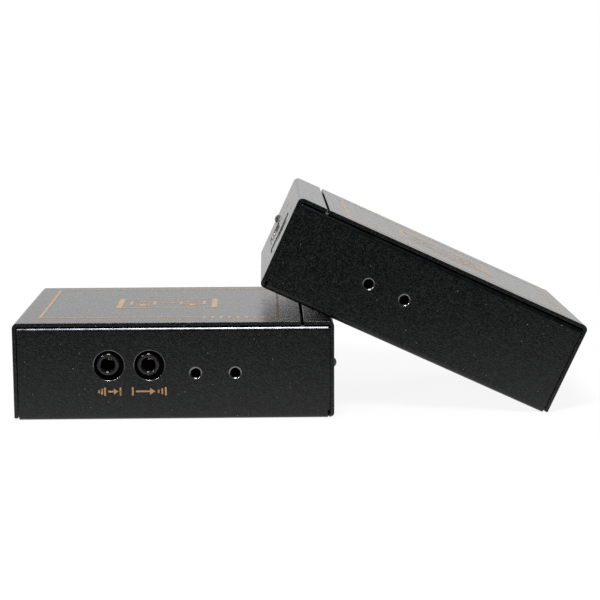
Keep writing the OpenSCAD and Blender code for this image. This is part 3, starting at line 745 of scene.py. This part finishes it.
def addArrow(u0, u1, v, line, head):
    shaft = addBar(u0, v - line / 2, u1 - head, v + line / 2)
    return [shaft, addHead(u1 - head, v, head, signs["headTall"] * head)]


# A row of upright bars, each with its own height
def addWaves(u, v, line, step, talls):
    return [addBar(u + step * i, v - tall / 2, u + step * i + line, v + tall / 2)
            for i, tall in enumerate(talls)]


topPrint = {
    "border": (6.0, 8.0, 70.6, 57.5),
    "line": 0.7,
    "gap": (49.0, 67.6),
    "chevrons": 8,
    "chevronRow": 7.4,
    "chevron": (0.85, 3.0, 0.7),  # width, height and push
    "chevronEdge": 0.6,
    "plate": (25.4, 24.0, 53.3, 39.3),
    "plateLines": (1.5, 0.75),
    "screen": (7.2, 5.6, 0.7),
    "screenEdge": 3.4,
    "screenDrop": 2.2,
    "arrow": (11.4, 11.2, 0.6, 1.8),  # from the plate's left, from its right, above its middle, and the head
    "dashes": (33.0, 42.8, 1.45, 8),  # first one's place, step and count
    "dash": (0.95, 0.6),
}


def printTop():
    t = topPrint
    line = t["line"]
    left, front, right, back = t["border"]
    parts = [addBar(left, front + line, left + line, back - line),
             addBar(right - line, front + line, right, back - line),
             addBar(left, back - line, right, back),
             addBar(left, front, t["gap"][0], front + line),
             addBar(t["gap"][1], front, right, front + line)]
    wide, tall, push = t["chevron"]
    first, last = t["gap"][0] + t["chevronEdge"], t["gap"][1] - t["chevronEdge"] - wide - push
    step = (last - first) / (t["chevrons"] - 1)
    parts += [addChevron(first + i * step, t["chevronRow"], wide, tall, push) for i in range(t["chevrons"])]
    u0, v0, u1, v1 = t["plate"]
    parts += addFrame(u0, v0, u1, v1, *t["plateLines"])
    wide, tall, line = t["screen"]
    middle = (v0 + v1) / 2
    parts += addScreen(u0 + t["screenEdge"], middle - t["screenDrop"], wide, tall, line)
    parts += addScreen(u1 - t["screenEdge"] - wide, middle - t["screenDrop"], wide, tall, line)
    tail, tip, above, head = t["arrow"]
    parts += addArrow(u0 + tail, u1 - tip, middle + above, line, head)
    u, v, step, count = t["dashes"]
    wide, tall = t["dash"]
    return parts + [addBar(u + step * i, v, u + step * i + wide, v + tall) for i in range(count)]


# An arrow keeps its distance from both ends of its span; waves give their step and heights
jackPrint = {
    "row": 7.7,
    "tall": 2.2,
    "line": 0.45,
    "inSpan": (22.4, 28.5),
    "inWaves": (0.78, (0.36, 0.68, 1.0)),
    "inArrow": (2.6, 0.75, 1.2),
    "outSpan": (31.3, 40.5),
    "outWaves": (0.95, (0.4, 0.7, 1.0)),
    "outArrow": (1.1, 3.0, 1.4),
    "outWavesWide": 2.35,
}


# Light that comes in, and light that goes out
def printJacks():
    j = jackPrint
    row, tall, line = j["row"], j["tall"], j["line"]

    def waves(u, step, shares):
        return addWaves(u, row, line, step, [share * tall for share in shares])

    left, right = j["inSpan"]
    tail, tip, head = j["inArrow"]
    parts = waves(left, *j["inWaves"]) + addArrow(left + tail, right - tip, row, line, head)
    parts += waves(right - line, 0, [1.0])
    left, right = j["outSpan"]
    tail, tip, head = j["outArrow"]
    parts += waves(left, 0, [1.0]) + addArrow(left + tail, right - tip, row, line, head)
    return parts + waves(right - j["outWavesWide"], *j["outWaves"])


endPrint = {
    "screen": (23.4, 17.9, 4.2, 2.6, 0.35),
    "plug": (46.0, 21.3, 0.6),
    "poles": (1.1, 2.1, 0.3),  # from the plug's middle, to, and their width
    "lamp": (8.1, 16.9, 9.9, 17.2),
}


def printEnd():
    u, v, radius = endPrint["plug"]
    near, far, wide = endPrint["poles"]
    return addScreen(*endPrint["screen"]) + [
        addDot(u, v, radius), addBar(u - far, v - wide / 2, u - near, v + wide / 2),
        addBar(u + near, v - wide / 2, u + far, v + wide / 2), addBar(*endPrint["lamp"])]


# Where each print's own U and V lie on its box
planes = {
    "top": Matrix.Translation((0, 0, case["height"] * mm)),
    "jacks": Matrix.Rotation(math.radians(90), 4, "X"),
    "end": Matrix(((0, 0, 1, case["length"] * mm), (1, 0, 0, 0), (0, 1, 0, 0), (0, 0, 0, 1))),
}


def layPrint(box, name, patches):
    makeActive(patches[0])
    for patch in patches:
        patch.select_set(True)
    bpy.ops.object.join()
    piece = bpy.context.object
    piece.matrix_world = boxPlaces[box] @ planes[name]
    bpy.ops.object.transform_apply(location=True, rotation=True, scale=True)
    piece.name = f"{box}_{name}_print"
    piece.data.materials.clear()
    piece.data.materials.append(finishes["ink"])
    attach(piece, box)


for box in boxPlaces:
    layPrint(box, "top", printTop())
    layPrint(box, "jacks", printJacks())
    layPrint(box, "end", printEnd())
print("print laid")

studio = {
    "floorDrop": 0.05,
    "floorSize": 12.0,
    "nearGlow": 0.9,  # share of the floor's white that doesn't come from the lamps, near the boxes
    "farGlow": 1.0,
    "fadeFrom": 0.15,
    "fadeTo": 0.5,
    "frontGlow": 0.06,
    "frontFar": -0.2,
    "frontNear": 0.05,
    "lamps": {
        "key_lamp": {"place": (-0.05, -0.36, 0.6), "size": 0.2, "power": 4.4},
        "side_lamp": {"place": (-0.42, -0.62, 0.36), "size": 0.08, "power": 1.4},
        "back_lamp": {"place": (0.05, 0.52, 0.56), "size": 0.3, "power": 1.8},
    },
    "aim": (0, 0, 0.02),
    "paper": rgb(0.86, 0.86, 0.86),
    "glow": rgb(1, 1, 1),
    "skyDiffuse": 0.35,
    "skyBack": 1.0,
    "skyFront": 0.04,
    "skyFade": (-0.15, 0.35),  # where reflected rays pass from the dark front to the white back
}


def addLamp(name, values):
    deselectAll()
    aim = Vector(studio["aim"]) - Vector(values["place"])
    turn = aim.to_track_quat("-Z", "Y").to_euler()
    bpy.ops.object.light_add(type="AREA", location=values["place"], rotation=turn)
    light = bpy.context.object
    light.name = name
    light.data.size = values["size"]
    light.data.energy = values["power"]


# White paper that the camera sees as pure white, but for the boxes' faint shadow
def layFloor():
    deselectAll()
    bpy.ops.mesh.primitive_plane_add(size=studio["floorSize"], location=(0, 0, -studio["floorDrop"] * mm))
    floor = bpy.context.object
    floor.name = "floor"
    bpy.ops.object.transform_apply(location=True, rotation=True, scale=True)
    finish, s = newFinish("white_floor")
    seen, glossy, through = (s.ray(kind) for kind in ("camera", "glossy", "transmission"))
    deep = s.node("ShaderNodeSeparateXYZ", {}, {0: s.place()}, out=1)
    level = s.spread(deep, studio["frontFar"], studio["frontNear"], studio["frontGlow"], 1.0)
    away = s.node("ShaderNodeVectorMath", {"operation": "LENGTH"}, {0: s.place()}, out=1)
    share = s.spread(away, studio["fadeFrom"], studio["fadeTo"], studio["nearGlow"], studio["farGlow"])
    glow = s.node("ShaderNodeEmission", {}, {"Color": studio["glow"], "Strength": seen + (1 - seen) * level})
    paper = s.node("ShaderNodeBsdfDiffuse", {}, {"Color": studio["paper"]})
    factor = s.spread(seen * share + glossy + through, 0, 1)
    mixed = s.node("ShaderNodeMixShader", {}, {0: factor, 1: paper, 2: glow})
    output = s.tree.nodes.new("ShaderNodeOutputMaterial")
    s.tree.links.new(mixed.socket, output.inputs["Surface"])
    floor.data.materials.append(finish)


# A white sky for the camera; the boxes reflect it from behind, and little of it from in front
def hangSky():
    sky = bpy.data.worlds.new("studio")
    sky.use_nodes = True
    sky.node_tree.nodes.clear()
    s = Shading(sky.node_tree)
    bpy.context.scene.world = sky
    seen, glossy, through = (s.ray(kind) for kind in ("camera", "glossy", "transmission"))
    way = s.node("ShaderNodeTexCoord", out=0)
    back = s.node("ShaderNodeSeparateXYZ", {}, {0: way}, out=1)
    level = s.spread(back, *studio["skyFade"], studio["skyFront"], studio["skyBack"])
    bright = s.spread(seen + through, 0, 1)
    strength = bright + (1 - bright) * (glossy * level + (1 - glossy) * studio["skyDiffuse"])
    glow = s.node("ShaderNodeBackground", {}, {"Color": studio["glow"], "Strength": strength})
    output = s.tree.nodes.new("ShaderNodeOutputWorld")
    s.tree.links.new(glow.socket, output.inputs["Surface"])


layFloor()
hangSky()
for name, values in studio["lamps"].items():
    addLamp(name, values)
bpy.context.scene.view_settings.view_transform = "Standard"
print("studio lit")

deselectAll()
